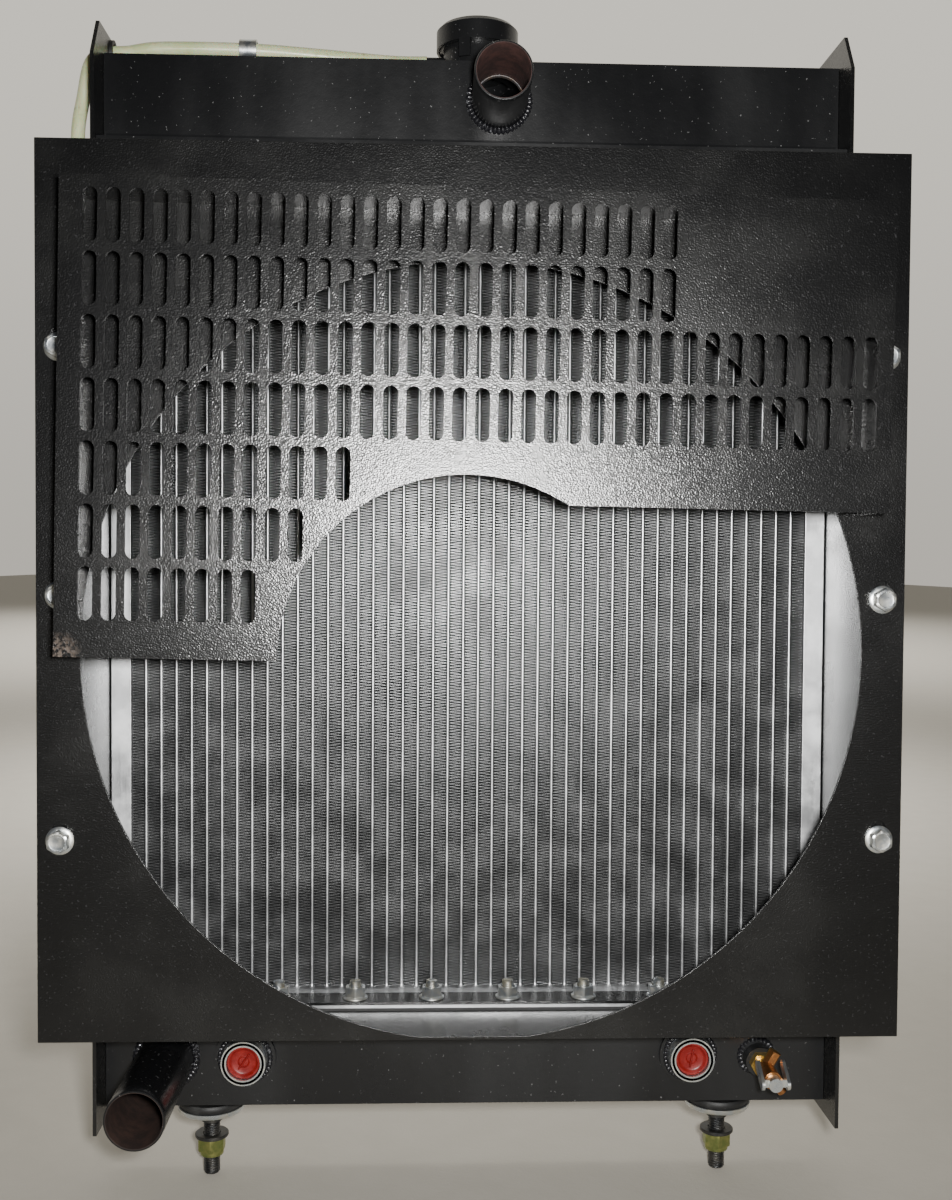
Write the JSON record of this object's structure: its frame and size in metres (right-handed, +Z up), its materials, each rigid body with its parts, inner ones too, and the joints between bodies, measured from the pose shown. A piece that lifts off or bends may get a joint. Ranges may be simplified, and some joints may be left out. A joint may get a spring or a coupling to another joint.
{
  "type": "liquid radiator with oil cooler",
  "caption": "Truck radiator with an oil cooler in its bottom tank, a fan plate, a slotted finger guard, capped oil ports, a filler cap and a drain cock.",
  "frame": {"origin": "midway between the two isolator studs, in the plane of the studs' shoulders, which stand on the truck's frame", "axes": "+X across the core to the right as seen from the fan, +Y towards the cooling air's inlet side, -Y towards the fan, +Z up"},
  "size_m": [0.5543, 0.236, 0.823],
  "materials": {
    "satin_black": "satin black enamel",
    "black_coat": "textured black powder coat",
    "rubber": "matt black rubber",
    "aluminium": "bare brazed aluminium",
    "zinc": "bright zinc plate",
    "olive_zinc": "yellow zinc plate",
    "spring_steel": "bright spring wire",
    "brass": "machined brass",
    "red_plastic": "red moulded plastic",
    "dark_steel": "dark phosphated steel",
    "clear_hose": "aged translucent hose"
  },
  "bodies": {
    "radiator": {"top_tank": "satin_black", "bottom_tank": "satin_black", "top_gasket": "rubber", "bottom_gasket": "rubber", "top_header": "aluminium", "bottom_header": "aluminium", "top_clamp_strips": "black_coat", "bottom_clamp_strips": "black_coat", "top_header_bolts": "olive_zinc", "bottom_header_bolts": "olive_zinc", "top_header_nuts": "zinc", "bottom_header_nuts": "zinc", "coolant_tubes": "aluminium", "fins": "aluminium", "left_core_side": "aluminium", "right_core_side": "aluminium", "inlet_pipe": "satin_black", "outlet_pipe": "satin_black", "filler_neck": "satin_black", "cooler_core": "aluminium", "left_oil_fitting": "zinc", "right_oil_fitting": "zinc", "left_fitting_seal": "rubber", "right_fitting_seal": "rubber", "drain_boss": "satin_black", "drain_body": "brass", "left_side_plate": "black_coat", "right_side_plate": "black_coat", "tank_bolts": "zinc", "fan_plate": "black_coat", "finger_guard": "black_coat", "fan_plate_bolts": "zinc", "weld_nuts": "zinc", "left_mount_bracket": "satin_black", "right_mount_bracket": "satin_black", "lower_isolators": "rubber", "upper_isolators": "rubber", "isolator_washers": "zinc", "cup_washers": "zinc", "mount_studs": "dark_steel", "mount_washers": "zinc", "mount_nuts": "olive_zinc", "overflow_hose": "clear_hose", "hose_grommet": "rubber", "tank_hose_clip": "zinc", "side_hose_clip": "zinc", "hose_clip_screws": "zinc"},
    "cap": {"cap_shell": "satin_black", "cap_seal": "rubber", "cap_spring": "spring_steel"},
    "pressure_valve": {"pressure_valve": "brass", "pressure_seal": "rubber", "vacuum_spring": "spring_steel"},
    "vacuum_valve": {"vacuum_valve": "brass"},
    "drain_key": {"drain_key": "zinc"},
    "left_plug": {"left_port_plug": "red_plastic"},
    "right_plug": {"right_port_plug": "red_plastic"}
  },
  "joints": [
    {"name": "cap_turn", "type": "hinge", "parent": "radiator", "child": "cap", "pos_m": [0.003, 0, 0.771], "axis": [0, 0, 1], "range_deg": [0, 90]},
    {"name": "pressure_valve_lift", "type": "slide", "parent": "cap", "child": "pressure_valve", "axis": [0, 0, 1], "range_m": [0, 0.004], "stiffness_N_per_m": 5000, "springref_m": -0.011, "deforming": ["cap_spring"]},
    {"name": "vacuum_valve_drop", "type": "slide", "parent": "pressure_valve", "child": "vacuum_valve", "axis": [0, 0, -1], "range_m": [0, 0.0015], "stiffness_N_per_m": 300, "springref_m": -0.001, "deforming": ["vacuum_spring"]},
    {"name": "drain_key_turn", "type": "hinge", "parent": "radiator", "child": "drain_key", "pos_m": [0.202, -0.08, 0.061], "axis": [0, -1, 0], "range_deg": [0, 90]},
    {"name": "left_plug_pull", "type": "slide", "parent": "radiator", "child": "left_plug", "axis": [0, -1, 0], "range_m": [0, 0.03]},
    {"name": "right_plug_pull", "type": "slide", "parent": "radiator", "child": "right_plug", "axis": [0, -1, 0], "range_m": [0, 0.03]}
  ]
}
